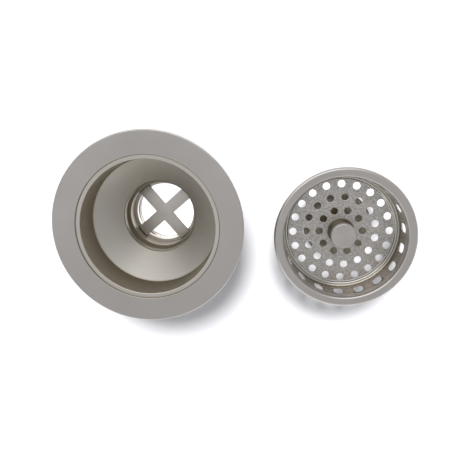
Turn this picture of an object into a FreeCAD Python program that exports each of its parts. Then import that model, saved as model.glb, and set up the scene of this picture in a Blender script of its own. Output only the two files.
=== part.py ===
import FreeCAD, Part
import math
import os

# Basket strainer for a kitchen sink, in millimetres, +Z up.
# The origin is on the strainer's axis, in the plane of the flange's underside, where the sink deck starts.
# The strainer stands on its coupling nut, and its basket stands beside it on the stopper post.

Vector = FreeCAD.Vector

# Strainer body: flange, recess for the basket's rim, bore, cone and throat
FLANGE_R = 57.15
FLANGE_T = 2.0
RECESS_R = 43.2
RECESS_Z = 1.0
BOWL_R = 40.3
BOWL_BOTTOM = -22.0
THROAT_R = 23.3
THROAT_TOP = -36.0
THROAT_BOTTOM = -44.5
COLLAR_R = 25.8
CONE_WALL_DROP = 2.0
BARREL_ROOT_R = 42.4
BARREL_CREST_R = 43.4
BARREL_THREAD_BOTTOM = -20.2
BARREL_THREADS = 8
THREAD_PITCH = 2.2

# Outlet spud and the cross that lies in it
SPUD_SHOULDER_R = 27.5
SPUD_SHOULDER_T = 2.5
SPUD_BORE_R = 21.5
SPUD_ROOT_R = 23.2
SPUD_CREST_R = 24.1
SPUD_END = -58.5
SPUD_THREADS = 4
OUTLET_R = 19.5
CROSS_LEDGE = -55.0
CROSS_T = 2.0
CROSS_ARM_W = 8.2
CROSS_TIP_R = 21.3
CROSS_ANGLE = 45.0

# Clamping stack under the sink deck
DECK_GAP = 8.0
RING_BORE_R = 43.9
GASKET_R = 54.5
GASKET_T = 3.5
FRICTION_R = 52.5
FRICTION_T = 0.9
LOCKNUT_BORE_R = 43.75
LOCKNUT_FACE_R = 51.0
LOCKNUT_FACE_T = 2.2
LOCKNUT_R = 48.4
LOCKNUT_H = 8.0
LOCKNUT_LUGS = 8
LOCKNUT_LUG_R = 52.0
LOCKNUT_LUG_W = 7.0
BODY_GAP = 0.3

# Coupling nut and tailpiece washer, one and a half turns short of tight
COUPLING_BACK_OFF = 1.5 * THREAD_PITCH
WASHER_BORE_R = 19.6
WASHER_R = 23.6
WASHER_T = 2.3
COUPLING_FLATS = 55.0
COUPLING_H = 13.5
COUPLING_LIP_T = 2.0
COUPLING_BORE_R = 24.4
TAILPIECE_R = 19.4
FACE_GAP = 0.1

# Basket cup, measured from the top of its own rim
RIM_R = 42.9
RIM_INNER_R = 37.0
RIM_T = 2.2
SHEET_T = 0.8
WALL_BOTTOM_R = 36.4
PLATE_TOP = -22.5
BEAD_R = 34.9
BEAD_HALF_W = 1.4
BEAD_H = 1.3
DRAIN_HOLE_R = 2.35
DRAIN_RINGS = ((30.5, 20, 5.2), (22.1, 15, 17.2), (13.6, 10, 5.2))
SLOT_COUNT = 18
SLOT_W = 5.7
SLOT_H = 9.8
SLOT_MID = -11.6
SLOT_PHASE = 11.6

# Post bushing, its nut, the detent balls and the spring clip that holds them
BUSHING_COLLAR_R = 8.6
BUSHING_STEP_R = 6.6
BUSHING_TOP = -19.4
BUSHING_THREAD_R = 5.6
BUSHING_THREAD_BOTTOM = -26.5
BUSHING_BARREL_R = 5.45
BUSHING_BOTTOM = -31.3
PLATE_HOLE_R = 5.75
POST_BORE_R = 3.03
BUSHING_NUT_FLATS = 15.0
BUSHING_NUT_T = 3.0
BALL_R = 1.5
BALL_Z = -28.4
BALL_OFFSET = 4.0
BALL_HOLE_R = 1.55
CLIP_INNER_R = 5.56
CLIP_T = 0.6
CLIP_H = 2.2
CLIP_GAP_DEG = 50.0

# Post, knob, stop ring and stopper stack
POST_R = 3.0
WAIST_R = 2.45
TRAVEL_UP = 8.5
TRAVEL_DOWN = 2.3
KNOB_R = 7.8
KNOB_TOP = -7.0
KNOB_HEAD_T = 3.9
KNOB_NECK_R = 4.0
KNOB_BOTTOM = -16.6
SPIGOT_R = 2.5
SPIGOT_TOP = -10.4
STOP_RING_TOP = -40.2
STOP_RING_T = 0.8
STOP_RING_R = 5.0
STOP_GROOVE_R = 2.6
RUNNING_GAP = 0.05
DISC_R = 22.0
DISC_T = 1.0
SEAL_R = 22.6
SEAL_T = 3.4
STOPPER_WASHER_R = 9.0
STOPPER_WASHER_T = 1.0
STOPPER_NUT_FLATS = 10.0
STOPPER_NUT_T = 4.0
POST_END = -53.6

# Where the basket stands: beside the strainer, on the same surface
BASKET_X = 117.8
FLOOR_Z = SPUD_END - BODY_GAP - COUPLING_BACK_OFF - WASHER_T - FACE_GAP - COUPLING_LIP_T
BASKET_RIM_Z = FLOOR_Z - POST_END


def corner_arc(before, corner, after, radius):
    """The two tangent points and the middle point of an arc that rounds a corner."""
    back = (before - corner).normalize()
    ahead = (after - corner).normalize()
    half_angle = back.getAngle(ahead) / 2
    reach = radius / math.tan(half_angle)
    centre = corner + (back + ahead).normalize() * (radius / math.sin(half_angle))
    middle = centre + (corner - centre).normalize() * radius
    return corner + back * reach, middle, corner + ahead * reach


def turned(corners):
    """A solid of revolution about Z. Each corner is (radius, height) or (radius, height, rounding)."""
    points = [Vector(c[0], 0, c[1]) for c in corners]
    roundings = [c[2] if len(c) > 2 else 0.0 for c in corners]
    stations = []
    for i, point in enumerate(points):
        if roundings[i] > 0:
            following = points[(i + 1) % len(points)]
            stations.append(corner_arc(points[i - 1], point, following, roundings[i]))
        else:
            stations.append((point,))
    edges = []
    for i, station in enumerate(stations):
        if len(station) == 3:
            edges.append(Part.Arc(*station).toShape())
        start = station[-1]
        end = stations[(i + 1) % len(stations)][0]
        if (end - start).Length > 1e-6:
            edges.append(Part.LineSegment(start, end).toShape())
    face = Part.Face(Part.Wire(edges))
    return face.revolve(Vector(0, 0, 0), Vector(0, 0, 1), 360)


def thread_profile(root_r, crest_r, bottom, count):
    """Corners of a row of thread ridges, from the lowest upwards."""
    corners = []
    for i in range(count):
        z = bottom + i * THREAD_PITCH
        corners.append((root_r, z))
        corners.append((crest_r, z + 0.33 * THREAD_PITCH))
        corners.append((crest_r, z + 0.50 * THREAD_PITCH))
        corners.append((root_r, z + 0.83 * THREAD_PITCH))
    return corners


def cylinder(radius, bottom, top):
    return Part.makeCylinder(radius, top - bottom, Vector(0, 0, bottom))


def plain_ring(inner_r, outer_r, bottom, top, rounding):
    return turned(
        [
            (inner_r, bottom, rounding),
            (outer_r, bottom, rounding),
            (outer_r, top, rounding),
            (inner_r, top, rounding),
        ]
    )


def around(shape, count, phase=0.0):
    """Copies of a shape, evenly turned about Z, as one compound."""
    copies = []
    for i in range(count):
        copy = shape.copy()
        copy.rotate(Vector(0, 0, 0), Vector(0, 0, 1), phase + 360.0 * i / count)
        copies.append(copy)
    return Part.makeCompound(copies)


def hex_nut(flats, bore_r, bottom, top):
    """A hexagonal nut with chamfered corners and a plain bore."""
    corner_r = flats / math.sqrt(3)
    corners = []
    for i in range(7):
        angle = math.radians(60 * i)
        corners.append(Vector(corner_r * math.cos(angle), corner_r * math.sin(angle), bottom))
    prism = Part.Face(Part.makePolygon(corners)).extrude(Vector(0, 0, top - bottom))
    chamfer = 0.58 * (corner_r - flats / 2)
    envelope = turned(
        [
            (bore_r, bottom),
            (flats / 2 - 0.2, bottom),
            (corner_r + 0.2, bottom + chamfer),
            (corner_r + 0.2, top - chamfer),
            (flats / 2 - 0.2, top),
            (bore_r, top),
        ]
    )
    return prism.common(envelope)


def strainer_body():
    """One turned casting: the flange at the top, then the threaded barrel, the cone and the throat."""
    corners = [
        (FLANGE_R, 0.0, 0.25),
        (FLANGE_R, FLANGE_T, 0.7),
        (RECESS_R, FLANGE_T, 0.25),
        (RECESS_R, RECESS_Z, 0.15),
        (BOWL_R, RECESS_Z, 0.6),
        (BOWL_R, BOWL_BOTTOM, 2.0),
        (THROAT_R, THROAT_TOP, 0.8),
        (THROAT_R, THROAT_BOTTOM),
        (COLLAR_R, THROAT_BOTTOM),
        (COLLAR_R, THROAT_TOP - CONE_WALL_DROP, 1.0),
        (BARREL_ROOT_R, BOWL_BOTTOM - CONE_WALL_DROP, 1.5),
    ]
    corners += thread_profile(
        BARREL_ROOT_R, BARREL_CREST_R, BARREL_THREAD_BOTTOM, BARREL_THREADS
    )
    corners.append((BARREL_ROOT_R, 0.0, 0.4))
    return turned(corners)


def outlet_spud():
    """The outlet tube: a shoulder under the throat, a ledge for the cross, and an outside thread."""
    corners = [
        (SPUD_BORE_R, THROAT_BOTTOM, 0.25),
        (SPUD_BORE_R, CROSS_LEDGE),
        (OUTLET_R, CROSS_LEDGE, 0.2),
        (OUTLET_R, SPUD_END, 0.3),
        (SPUD_ROOT_R, SPUD_END, 0.4),
    ]
    corners += thread_profile(SPUD_ROOT_R, SPUD_CREST_R, SPUD_END + 0.7, SPUD_THREADS)
    corners += [
        (SPUD_ROOT_R, THROAT_BOTTOM - SPUD_SHOULDER_T),
        (SPUD_SHOULDER_R, THROAT_BOTTOM - SPUD_SHOULDER_T, 0.4),
        (SPUD_SHOULDER_R, THROAT_BOTTOM, 0.4),
    ]
    return turned(corners)


def crossbar():
    """Two crossed flat arms with rounded tips, lying on the spud's ledge."""
    arms = []
    for turn in (0.0, 90.0):
        arm = Part.makeBox(
            2.4 * CROSS_TIP_R,
            CROSS_ARM_W,
            CROSS_T,
            Vector(-1.2 * CROSS_TIP_R, -CROSS_ARM_W / 2, CROSS_LEDGE),
        )
        arm.rotate(Vector(0, 0, 0), Vector(0, 0, 1), CROSS_ANGLE + turn)
        arms.append(arm)
    cross = arms[0].fuse(arms[1]).removeSplitter()
    return cross.common(cylinder(CROSS_TIP_R, CROSS_LEDGE, CROSS_LEDGE + CROSS_T))


def deck_gasket():
    return plain_ring(RING_BORE_R, GASKET_R, -DECK_GAP - GASKET_T, -DECK_GAP, 0.5)


def friction_ring():
    top = -DECK_GAP - GASKET_T
    return plain_ring(RING_BORE_R, FRICTION_R, top - FRICTION_T, top, 0.15)


def locknut():
    """A ring nut with a wide bearing face at the top and lugs for a spanner."""
    top = -DECK_GAP - GASKET_T - FRICTION_T - BODY_GAP
    bottom = top - LOCKNUT_H
    ring = turned(
        [
            (LOCKNUT_BORE_R, bottom, 0.3),
            (LOCKNUT_R, bottom, 0.5),
            (LOCKNUT_R, top - LOCKNUT_FACE_T, 0.3),
            (LOCKNUT_FACE_R, top - LOCKNUT_FACE_T, 0.4),
            (LOCKNUT_FACE_R, top, 0.4),
            (LOCKNUT_BORE_R, top, 0.3),
        ]
    )
    lug_root_r = LOCKNUT_R - 1.5
    lug = Part.makeBox(
        LOCKNUT_LUG_R - lug_root_r,
        LOCKNUT_LUG_W,
        LOCKNUT_H - 1.2,
        Vector(lug_root_r, -LOCKNUT_LUG_W / 2, bottom + 0.6),
    )
    lug = lug.makeFillet(0.5, [e for e in lug.Edges if e.BoundBox.XMin > LOCKNUT_R])
    return ring.fuse(around(lug, LOCKNUT_LUGS).Solids).removeSplitter()


def washer_top():
    return SPUD_END - BODY_GAP - COUPLING_BACK_OFF


def tailpiece_washer():
    top = washer_top()
    return plain_ring(WASHER_BORE_R, WASHER_R, top - WASHER_T, top, 0.3)


def coupling_nut():
    """A hexagonal nut, threaded above and closed in below to a lip round the tailpiece."""
    nut = hex_nut(COUPLING_FLATS, TAILPIECE_R, FLOOR_Z, FLOOR_Z + COUPLING_H)
    threaded = cylinder(COUPLING_BORE_R, FLOOR_Z + COUPLING_LIP_T, FLOOR_Z + COUPLING_H + 1)
    return nut.cut(threaded)


def drain_slot():
    """The cutter for one round-ended slot in the cup's wall, on the +X side."""
    half_w = SLOT_W / 2
    straight = SLOT_H / 2 - half_w
    reach = RIM_R
    start = BEAD_R
    middle = Part.makeBox(
        reach - start, SLOT_W, 2 * straight, Vector(start, -half_w, SLOT_MID - straight)
    )
    ends = []
    for z in (SLOT_MID - straight, SLOT_MID + straight):
        ends.append(Part.makeCylinder(half_w, reach - start, Vector(start, 0, z), Vector(1, 0, 0)))
    return middle.fuse(ends)


def basket_cup():
    """The pressed cup: a rounded rim, a tapered wall, and a plate inside a raised bead."""
    under = PLATE_TOP - SHEET_T
    cup = turned(
        [
            (PLATE_HOLE_R, under),
            (PLATE_HOLE_R, PLATE_TOP),
            (BEAD_R - BEAD_HALF_W, PLATE_TOP, 0.6),
            (BEAD_R, PLATE_TOP + BEAD_H, 0.8),
            (WALL_BOTTOM_R, PLATE_TOP, 0.4),
            (RIM_INNER_R, 0.0, 1.6),
            (RIM_R, 0.0, 1.7),
            (RIM_R, -RIM_T, 0.3),
            (RIM_INNER_R + SHEET_T, -RIM_T, 0.3),
            (WALL_BOTTOM_R + SHEET_T, under, 0.9),
            (BEAD_R + BEAD_HALF_W - 0.2, under, 0.2),
            (BEAD_R, PLATE_TOP + BEAD_H - SHEET_T, 0.4),
            (BEAD_R - BEAD_HALF_W + 0.2, under, 0.4),
        ]
    )
    hole = cylinder(DRAIN_HOLE_R, under - 1, PLATE_TOP + 1)
    cutters = []
    for ring_r, count, phase in DRAIN_RINGS:
        placed = hole.copy()
        placed.translate(Vector(ring_r, 0, 0))
        cutters += around(placed, count, phase).Solids
    cutters += around(drain_slot(), SLOT_COUNT, SLOT_PHASE).Solids
    return cup.cut(cutters)


def post_bushing():
    """The turned guide in the plate: a stepped collar above, a thread and a ball barrel below."""
    bushing = turned(
        [
            (POST_BORE_R, BUSHING_BOTTOM, 0.1),
            (BUSHING_BARREL_R, BUSHING_BOTTOM, 0.3),
            (BUSHING_BARREL_R, BUSHING_THREAD_BOTTOM),
            (BUSHING_THREAD_R, BUSHING_THREAD_BOTTOM),
            (BUSHING_THREAD_R, PLATE_TOP),
            (BUSHING_COLLAR_R, PLATE_TOP, 0.2),
            (BUSHING_COLLAR_R, PLATE_TOP + 1.5, 0.4),
            (BUSHING_STEP_R, PLATE_TOP + 1.5, 0.2),
            (BUSHING_STEP_R, BUSHING_TOP, 0.4),
            (POST_BORE_R, BUSHING_TOP, 0.1),
        ]
    )
    cross_hole = Part.makeCylinder(
        BALL_HOLE_R, 4 * BUSHING_COLLAR_R, Vector(0, -2 * BUSHING_COLLAR_R, BALL_Z), Vector(0, 1, 0)
    )
    return bushing.cut(cross_hole)


def bushing_nut():
    top = PLATE_TOP - SHEET_T
    return hex_nut(BUSHING_NUT_FLATS, BUSHING_THREAD_R + RUNNING_GAP, top - BUSHING_NUT_T, top)


def detent_balls():
    """Two balls in the bushing's cross hole, one each side of the post's waist."""
    balls = []
    for side in (-1, 1):
        balls.append(Part.makeSphere(BALL_R, Vector(0, side * BALL_OFFSET, BALL_Z)))
    return Part.makeCompound(balls)


def split_ring(inner_r, outer_r, bottom, top, gap_deg):
    """A C-shaped ring whose gap faces +X."""
    ring = cylinder(outer_r, bottom, top).cut(cylinder(inner_r, bottom, top))
    half_gap = math.radians(gap_deg / 2)
    reach = 2 * outer_r
    wedge_points = [
        Vector(0, 0, bottom - 1),
        Vector(reach * math.cos(half_gap), -reach * math.sin(half_gap), bottom - 1),
        Vector(reach * math.cos(half_gap), reach * math.sin(half_gap), bottom - 1),
        Vector(0, 0, bottom - 1),
    ]
    wedge = Part.Face(Part.makePolygon(wedge_points)).extrude(Vector(0, 0, top - bottom + 2))
    return ring.cut(wedge)


def detent_clip():
    bottom = BALL_Z - CLIP_H / 2
    return split_ring(CLIP_INNER_R, CLIP_INNER_R + CLIP_T, bottom, bottom + CLIP_H, CLIP_GAP_DEG)


def post():
    """The stopper's rod. Its waist is as long as its travel, and its shoulders meet the balls at each end."""
    waist_top = BALL_Z + BALL_R + TRAVEL_DOWN + 0.2
    waist_bottom = BALL_Z - BALL_R - TRAVEL_UP - 0.2
    groove_top = STOP_RING_TOP + RUNNING_GAP
    groove_bottom = STOP_RING_TOP - STOP_RING_T - RUNNING_GAP
    return turned(
        [
            (0.0, POST_END),
            (POST_R, POST_END, 0.8),
            (POST_R, groove_bottom),
            (STOP_GROOVE_R, groove_bottom),
            (STOP_GROOVE_R, groove_top),
            (POST_R, groove_top),
            (POST_R, waist_bottom, 0.2),
            (WAIST_R, waist_bottom, 0.1),
            (WAIST_R, waist_top, 0.1),
            (POST_R, waist_top, 0.2),
            (POST_R, KNOB_BOTTOM),
            (SPIGOT_R, KNOB_BOTTOM),
            (SPIGOT_R, SPIGOT_TOP, 0.4),
            (0.0, SPIGOT_TOP),
        ]
    )


def knob():
    """The pull knob: a flat-topped head on a waisted neck, bored for the post's spigot."""
    under_head = KNOB_TOP - KNOB_HEAD_T
    return turned(
        [
            (SPIGOT_R, KNOB_BOTTOM, 0.1),
            (KNOB_NECK_R + 0.7, KNOB_BOTTOM, 0.4),
            (KNOB_NECK_R + 0.7, KNOB_BOTTOM + 1.6, 0.4),
            (KNOB_NECK_R, KNOB_BOTTOM + 2.4, 0.8),
            (KNOB_NECK_R, under_head - 0.8, 1.0),
            (KNOB_R, under_head + 0.4, 0.7),
            (KNOB_R, KNOB_TOP, 0.8),
            (0.0, KNOB_TOP),
            (0.0, SPIGOT_TOP),
            (SPIGOT_R, SPIGOT_TOP),
        ]
    )


def post_circlip():
    bottom = STOP_RING_TOP - STOP_RING_T
    return split_ring(
        STOP_GROOVE_R + RUNNING_GAP, STOP_RING_R, bottom, STOP_RING_TOP, CLIP_GAP_DEG
    )


def disc_top():
    return STOP_RING_TOP - STOP_RING_T - RUNNING_GAP


def backing_disc():
    top = disc_top()
    return plain_ring(POST_R, DISC_R, top - DISC_T, top, 0.3)


def seal_top():
    return disc_top() - DISC_T


def stopper_seal():
    """The rubber stopper: a thick disc whose edge narrows downwards to seat on the spud's rim."""
    top = seal_top()
    return turned(
        [
            (POST_R, top - SEAL_T),
            (SEAL_R - 1.0, top - SEAL_T, 0.6),
            (SEAL_R, top - 0.5 * SEAL_T, 0.5),
            (SEAL_R, top, 0.6),
            (POST_R, top),
        ]
    )


def stopper_washer():
    top = seal_top() - SEAL_T
    return plain_ring(POST_R, STOPPER_WASHER_R, top - STOPPER_WASHER_T, top, 0.2)


def stopper_nut():
    top = seal_top() - SEAL_T - STOPPER_WASHER_T
    return hex_nut(STOPPER_NUT_FLATS, POST_R, top - STOPPER_NUT_T, top)


STRAINER_PIECES = (
    strainer_body,
    outlet_spud,
    crossbar,
    deck_gasket,
    friction_ring,
    locknut,
    tailpiece_washer,
    coupling_nut,
)
BASKET_PIECES = (
    basket_cup,
    post_bushing,
    bushing_nut,
    detent_balls,
    detent_clip,
    post,
    knob,
    post_circlip,
    backing_disc,
    stopper_seal,
    stopper_washer,
    stopper_nut,
)


def main():
    os.makedirs("parts", exist_ok=True)
    for piece in STRAINER_PIECES:
        piece().exportStep(f"parts/{piece.__name__}.step")
    for piece in BASKET_PIECES:
        shape = piece()
        shape.translate(Vector(BASKET_X, 0, BASKET_RIM_Z))
        shape.exportStep(f"parts/{piece.__name__}.step")


main()
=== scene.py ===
import math

import bmesh
import bpy
from mathutils import Matrix, Vector


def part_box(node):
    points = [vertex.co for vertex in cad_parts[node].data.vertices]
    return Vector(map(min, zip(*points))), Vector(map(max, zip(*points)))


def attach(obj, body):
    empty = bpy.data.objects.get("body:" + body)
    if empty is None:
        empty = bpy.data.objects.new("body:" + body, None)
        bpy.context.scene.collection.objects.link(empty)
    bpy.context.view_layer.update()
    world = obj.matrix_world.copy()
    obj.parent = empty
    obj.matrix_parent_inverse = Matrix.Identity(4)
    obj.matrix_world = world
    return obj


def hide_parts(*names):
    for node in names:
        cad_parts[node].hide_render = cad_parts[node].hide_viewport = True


# The looks of a sink basket strainer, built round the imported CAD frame.
# Outlines are in millimetres, as (radius, height) or (radius, height, rounding), and MM brings
# them to metres. The strainer's heights are the frame's own. The basket's heights start at the
# top of its rim.

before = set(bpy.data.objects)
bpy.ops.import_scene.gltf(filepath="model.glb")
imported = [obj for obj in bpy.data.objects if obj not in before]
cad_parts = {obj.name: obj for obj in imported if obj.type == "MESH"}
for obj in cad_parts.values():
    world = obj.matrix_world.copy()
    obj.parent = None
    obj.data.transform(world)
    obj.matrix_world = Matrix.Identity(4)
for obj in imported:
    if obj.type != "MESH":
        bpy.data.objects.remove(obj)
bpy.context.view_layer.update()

MM = 0.001
SEGMENTS = 240  # round a turned piece
SMALL_SEGMENTS = 120
LOCKNUT_SEGMENTS = 480
CUP_SEGMENTS = 360
SPLIT_RING_SEGMENTS = 96
DRILL_SEGMENTS = 48
THREAD_ROWS = 9  # along one pitch of a thread
ARC_STEP = math.radians(11)  # the most that one step of a rounded corner turns
SUPPORT = 0.12  # from the end of a straight run to its support point
WELD = 1e-4  # vertices nearer than this are one
SHARP_ANGLE = math.radians(32)


def node_box(node):
    low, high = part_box(node)
    return low / MM, high / MM


STRAINER_AXIS = Vector((0, 0, 0))
RIM_R = 42.9
CUP_EDGE = node_box("basket_cup")[1]
BASKET_AXIS = Vector((CUP_EDGE.x - RIM_R, 0, CUP_EDGE.z))
FLOOR_Z = node_box("coupling_nut")[0].z

# Strainer body
FLANGE_R = 57.15
FLANGE_T = 2.0
RECESS_R = 43.2
RECESS_Z = 1.0
BOWL_R = 40.3
BOWL_BOTTOM = -22.0
THROAT_R = 23.3
THROAT_TOP = -36.0
THROAT_BOTTOM = -44.5
COLLAR_R = 25.8
CONE_WALL_DROP = 2.0
RECESS_LINE_W = 0.55  # the painted shadow line at the recess's foot
BARREL_ROOT_R = 42.4
BARREL_CREST_R = 43.4
BARREL_THREAD_LOW = -20.4
BARREL_THREAD_HIGH = -2.4
THREAD_PITCH = 2.2
CREST_SHARE = 0.10  # of a pitch, to each side of a ridge's middle
FLANK_SHARE = 0.26
THREAD_INSET = 0.6

# Outlet spud and cross
SPUD_SHOULDER_R = 27.5
SPUD_SHOULDER_T = 2.5
SPUD_BORE_R = 21.5
SPUD_ROOT_R = 23.2
SPUD_CREST_R = 24.1
SPUD_END = -58.5
OUTLET_R = 19.5
CROSS_LEDGE = -55.0
CROSS_T = 2.0
CROSS_ARM_W = 8.2
CROSS_TIP_R = 21.3
CROSS_ANGLE = math.radians(45)
CROSS_EDGE = 0.35

# Clamping stack
RING_BORE_R = 43.9
GASKET_R = 54.5
FRICTION_R = 52.5
LOCKNUT_BORE_R = 43.75
LOCKNUT_CREST_R = 42.85
LOCKNUT_FACE_R = 51.0
LOCKNUT_FACE_T = 2.2
LOCKNUT_R = 48.4
LOCKNUT_LUGS = 8
LOCKNUT_LUG_R = 52.0
LOCKNUT_LUG_W = 7.0
LUG_ROUNDING = 0.8
LUG_CHAMFER = 0.3
WASHER_BORE_R = 19.6
WASHER_R = 23.6
COUPLING_FLATS = 55.0
COUPLING_LIP_T = 2.0
COUPLING_BORE_R = 24.4
COUPLING_CREST_R = 23.5
TAILPIECE_R = 19.4
HEX_CHAMFER_SHARE = 0.975
HEX_CHAMFER_ANGLE = math.radians(28)

# Basket cup
RIM_INNER_R = 37.0
RIM_T = 2.2
SHEET_T = 0.8
WALL_BOTTOM_R = 36.4
PLATE_TOP = -22.5
PLATE_UNDER = PLATE_TOP - SHEET_T
PLATE_HOLE_R = 5.75
BEAD_R = 34.9
BEAD_HALF_W = 1.4
BEAD_H = 1.3
DRAIN_HOLE_R = 2.35
HOLE_LIP = 0.14
FIRST_RING_R = 9.6
# Each ring of holes: its radius, how many holes, the first one's angle, the outer edge of its band
DRAIN_RINGS = ((13.6, 10, 5.2, 17.8), (22.1, 15, 17.2, 26.3), (30.5, 20, 5.2, 33.3))
SLOT_COUNT = 18
SLOT_W = 5.7
SLOT_H = 9.8
SLOT_MID = -11.6
SLOT_PHASE = 11.6
SLOT_BAND_HALF_H = 5.8
SLOT_BAND = (SLOT_MID - SLOT_BAND_HALF_H, SLOT_MID + SLOT_BAND_HALF_H)
PLATE_CELL_ROWS = 6
WALL_CELL_ROWS = 12

# Post, knob and stopper
PLATE_NUT_T = 3.0
PLATE_NUT_FLATS = 15.0
BUSHING_BORE_R = 3.03
BUSHING_BARREL_R = 5.45
BUSHING_THREAD_ROOT_R = 5.3
BUSHING_THREAD_R = 5.6
BUSHING_THREAD_LOW = -26.5
BUSHING_COLLAR_T = 1.5
BUSHING_STEP_R = 6.6
COLLAR_GROOVE_R = 7.65
COLLAR_GROOVE_HALF_W = 0.3
COLLAR_GROOVE_DEPTH = 0.5
STEP_GROOVE_DROP = 1.1
STEP_GROOVE = 0.4  # its half width and its depth
FINE_PITCH = 1.0
FINE_THREAD_DEPTH = 0.35
POST_R = 3.0
WAIST_R = 2.45
WAIST_TOP = -24.4
WAIST_BOTTOM = -38.6
POST_THREAD_TOP = -46.2
POST_END = -53.6
KNOB_R = 7.8
KNOB_TOP = -7.0
KNOB_HEAD_T = 3.9
KNOB_NECK_R = 4.0
KNOB_BOTTOM = -16.6
SPIGOT_R = 2.5
SPIGOT_TOP = -10.4
BALL_Z = -28.4
BALL_HOLE_R = 1.55
DRILL_LENGTH = 20.0
CLIP_R = (5.56, 6.16)
CLIP_H = 2.2
STOP_GROOVE_R = 2.6
STOP_RING_R = (2.65, 5.0)
STOP_RING_TOP = -40.2
STOP_RING_T = 0.8
CLIP_GAP = math.radians(50)
DISC_R = 22.0
DISC_T = 1.0
SEAL_R = 22.6
SEAL_T = 3.4
SEAL_TAPER = 1.0
STOPPER_WASHER_R = 9.0
STOPPER_WASHER_T = 1.0
STOPPER_NUT_FLATS = 10.0
STOPPER_NUT_T = 4.0
RUNNING_GAP = 0.05
DISC_TOP = STOP_RING_TOP - STOP_RING_T - RUNNING_GAP
SEAL_TOP = DISC_TOP - DISC_T
STOPPER_WASHER_TOP = SEAL_TOP - SEAL_T
STOPPER_NUT_TOP = STOPPER_WASHER_TOP - STOPPER_WASHER_T


# ---------------------------------------------------------------- outlines


def polar(angle, radius):
    return Vector((radius * math.cos(angle), radius * math.sin(angle)))


def smooth_step(t):
    t = min(1.0, max(0.0, t))
    return t * t * (3 - 2 * t)


def corner_arc(before, corner, after, radius):
    """Points along the arc that rounds one corner of an outline."""
    back = (before - corner).normalized()
    ahead = (after - corner).normalized()
    half = back.angle(ahead) / 2
    centre = corner + (back + ahead).normalized() * (radius / math.sin(half))
    start = corner + back * (radius / math.tan(half)) - centre
    end = corner + ahead * (radius / math.tan(half)) - centre
    turn = -start.angle_signed(end)
    count = max(2, math.ceil(abs(turn) / ARC_STEP))
    return [tuple(centre + Matrix.Rotation(turn * i / count, 2) @ start) for i in range(count + 1)]


def thread(low, high, root, crest, pitch, inside=False):
    """Points that each ride over a right-hand ridge as they go round: functions of the angle.
    An inside thread's ridges fill the grooves of an outside one with the same pitch and axis."""

    def riding(height):
        def point(angle):
            share = (height / pitch - angle / math.tau + (0.5 if inside else 0.0)) % 1.0
            ridge = 1 - smooth_step((abs(share - 0.5) - CREST_SHARE) / FLANK_SHARE)
            fade = smooth_step((height - low) / pitch) * smooth_step((high - height) / pitch)
            return root + (crest - root) * ridge * fade, height

        return point

    count = math.ceil((high - low) / pitch * THREAD_ROWS)
    points = [riding(low + (high - low) * i / count) for i in range(count + 1)]
    return points[::-1] if inside else points


def place_at(corner):
    return Vector(corner(0.0)) if callable(corner) else Vector(corner[:2])


def outline(corners, closed=True):
    """An outline's points: rounded corners, and support points where its straight runs end."""
    stations = []
    for i, corner in enumerate(corners):
        at_end = not closed and i in (0, len(corners) - 1)
        if callable(corner) or len(corner) == 2 or at_end:
            stations.append([corner if callable(corner) else tuple(corner[:2])])
        else:
            before, after = place_at(corners[i - 1]), place_at(corners[(i + 1) % len(corners)])
            stations.append(corner_arc(before, place_at(corner), after, corner[2]))
    points = []
    for i, station in enumerate(stations):
        points += station
        if not closed and i == len(stations) - 1:
            break
        start, end = station[-1], stations[(i + 1) % len(stations)][0]
        if callable(start) or callable(end):
            continue
        run = Vector(end) - Vector(start)
        if run.length > 4 * SUPPORT:
            step = run.normalized() * SUPPORT
            points += [tuple(Vector(start) + step), tuple(Vector(end) - step)]
    return points


def ring_outline(inner_r, outer_r, bottom, top, rounding):
    return [
        (inner_r, bottom, rounding),
        (outer_r, bottom, rounding),
        (outer_r, top, rounding),
        (inner_r, top, rounding),
    ]


# ---------------------------------------------------------------- mesh making


def finish_mesh(name, bm, place, body, replaced, materials):
    """Turns a bmesh in millimetres into a piece that rides on a body and stands for a CAD node."""
    bmesh.ops.remove_doubles(bm, verts=bm.verts, dist=WELD)
    bmesh.ops.recalc_face_normals(bm, faces=bm.faces)
    bmesh.ops.translate(bm, vec=place, verts=bm.verts)
    bmesh.ops.scale(bm, vec=(MM, MM, MM), verts=bm.verts)
    mesh = bpy.data.meshes.new(name)
    bm.to_mesh(mesh)
    bm.free()
    mesh.shade_smooth()
    mesh.set_sharp_from_angle(angle=SHARP_ANGLE)
    for material in materials:
        mesh.materials.append(material)
    piece = bpy.data.objects.new(name, mesh)
    bpy.context.scene.collection.objects.link(piece)
    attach(piece, body)
    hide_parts(replaced)
    return piece


def join_loops(bm, loops, closed=True, finish=0, ring=True):
    """Quads between rows of vertices. finish is a material's index, or gives one for each row."""
    rows = list(zip(loops, loops[1:] + loops[:1])) if closed else list(zip(loops, loops[1:]))
    for i, (near, far) in enumerate(rows):
        index = finish(i) if callable(finish) else finish
        for j in range(len(near) if ring else len(near) - 1):
            k = (j + 1) % len(near)
            face = bm.faces.new((near[j], near[k], far[k], far[j]))
            face.material_index = index


def strip(bm, points, closed=True, finish=0, segments=SEGMENTS):
    """Faces of revolution through outline points. A point may be a function of the angle."""
    loops = []
    for point in points:
        loop = []
        for j in range(segments):
            angle = math.tau * j / segments
            radius, height = point(angle) if callable(point) else point
            loop.append(bm.verts.new((radius * math.cos(angle), radius * math.sin(angle), height)))
        loops.append(loop)
    join_loops(bm, loops, closed, finish)


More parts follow.
